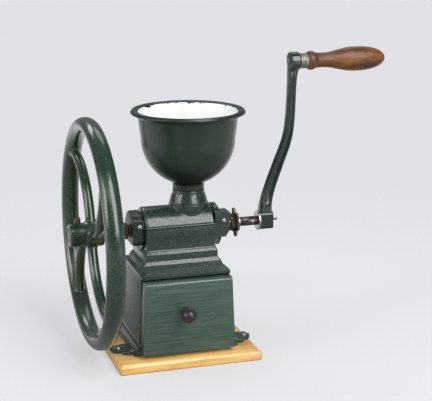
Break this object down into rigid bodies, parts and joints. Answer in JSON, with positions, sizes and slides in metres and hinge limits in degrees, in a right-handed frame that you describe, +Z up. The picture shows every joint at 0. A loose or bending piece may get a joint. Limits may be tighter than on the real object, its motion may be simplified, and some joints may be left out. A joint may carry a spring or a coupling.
{
  "type": "hand coffee grinder",
  "caption": "Green cast-iron table coffee grinder with a spoked flywheel, an enamelled bowl hopper, a long crank with a wooden grip and a knobbed drawer, on a wooden board.",
  "frame": {"origin": "centre of the board's underside", "axes": "+X along the shaft towards the crank, +Y away from the drawer's front, +Z up"},
  "size_m": [0.4042, 0.28, 0.3693],
  "materials": {
    "board_wood": "clear satin varnish",
    "green_paint": "semi-gloss dark green paint on cast iron",
    "enamel": "glossy green enamel outside and white enamel inside",
    "brass": "tarnished",
    "steel": "worn, partly rusty",
    "rusty_iron": "brown rust",
    "burr_iron": "bare",
    "grip_wood": "worn reddish brown varnish",
    "painted_wood": "dark green paint with the grain showing through",
    "drawer_wood": "bare",
    "black_wood": "glossy black lacquer"
  },
  "bodies": {
    "mill": {"base_board": "board_wood", "mill_body": "green_paint", "housing_cover": "green_paint", "hopper_bowl": "enamel", "left_bearing": "green_paint", "left_bush": "brass", "right_bearing": "green_paint", "adjusting_sleeve": "steel", "clamp_screws": "brass", "fixed_burr": "burr_iron", "foot_screws": "steel"},
    "thrust_ring": {"thrust_washer": "steel"},
    "adjuster": {"star_nut": "rusty_iron"},
    "rotor": {"main_shaft": "steel", "shaft_collar": "rusty_iron", "flywheel": "green_paint", "hub_screw": "rusty_iron", "rotating_burr": "burr_iron", "burr_pin": "steel", "feed_worm": "burr_iron", "crank_pin": "steel", "crank_washer": "steel", "crank_arm": "green_paint", "grip_spindle": "steel"},
    "grip": {"grip_ferrule": "steel", "wooden_grip": "grip_wood"},
    "drawer": {"drawer_front": "painted_wood", "drawer_left_side": "drawer_wood", "drawer_right_side": "drawer_wood", "drawer_back": "drawer_wood", "drawer_bottom": "drawer_wood", "drawer_knob": "black_wood", "knob_screw": "steel"}
  },
  "joints": [
    {"name": "adjust_travel", "type": "slide", "parent": "mill", "child": "thrust_ring", "axis": [1, 0, 0], "range_m": [-0.001, 0.001]},
    {"name": "adjust_turn", "type": "hinge", "parent": "thrust_ring", "child": "adjuster", "pos_m": [0.0732, 0, 0.1573], "axis": [1, 0, 0], "range_deg": [-181, 181]},
    {"name": "shaft_spin", "type": "hinge", "parent": "thrust_ring", "child": "rotor", "pos_m": [0, 0, 0.1573], "axis": [1, 0, 0], "continuous": true},
    {"name": "grip_spin", "type": "hinge", "parent": "rotor", "child": "grip", "pos_m": [0.215, 0, 0.3543], "axis": [1, 0, 0], "continuous": true},
    {"name": "drawer_slide", "type": "slide", "parent": "mill", "child": "drawer", "axis": [0, -1, 0], "range_m": [0, 0.07]}
  ],
  "couplings": [
    {"joint": "adjust_turn", "follows": "adjust_travel", "rad_per_m": 3141.6}
  ]
}
